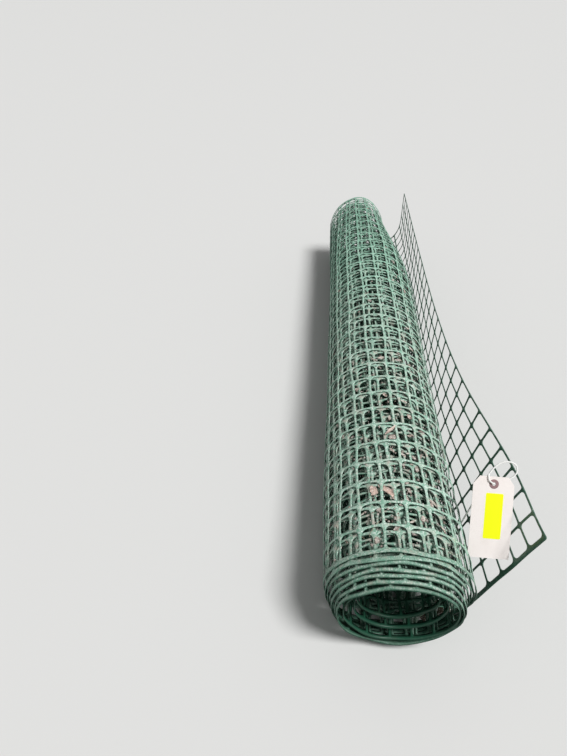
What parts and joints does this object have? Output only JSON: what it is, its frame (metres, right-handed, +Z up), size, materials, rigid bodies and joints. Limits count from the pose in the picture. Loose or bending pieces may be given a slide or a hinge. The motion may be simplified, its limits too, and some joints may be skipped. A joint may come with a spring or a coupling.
{
  "type": "roll of plastic fencing mesh",
  "caption": "Roll of green plastic garden fencing mesh lying on its side, with its outer turn sprung free and a card tag tied on.",
  "frame": {"origin": "on the roll's axis, at the middle of the bore's length", "axes": "+Y along the roll's axis, away from the end whose inner turns stand out; +Z up; the free outer turn is on the +X side"},
  "size_m": [0.2958, 1.299, 0.2369],
  "materials": {
    "green_plastic": "weathered extruded polyethylene, chalky on its upper side",
    "card": "uncoated off-white tag card",
    "patch": "mauve-brown fibre patch",
    "sticker": "fluorescent yellow paper, bare",
    "string": "white cotton string"
  },
  "bodies": {
    "root": {"fencing_roll": "green_plastic", "tag_card": "card", "tag_patch": "patch", "tag_sticker": "sticker", "tag_string": "string"}
  },
  "joints": []
}
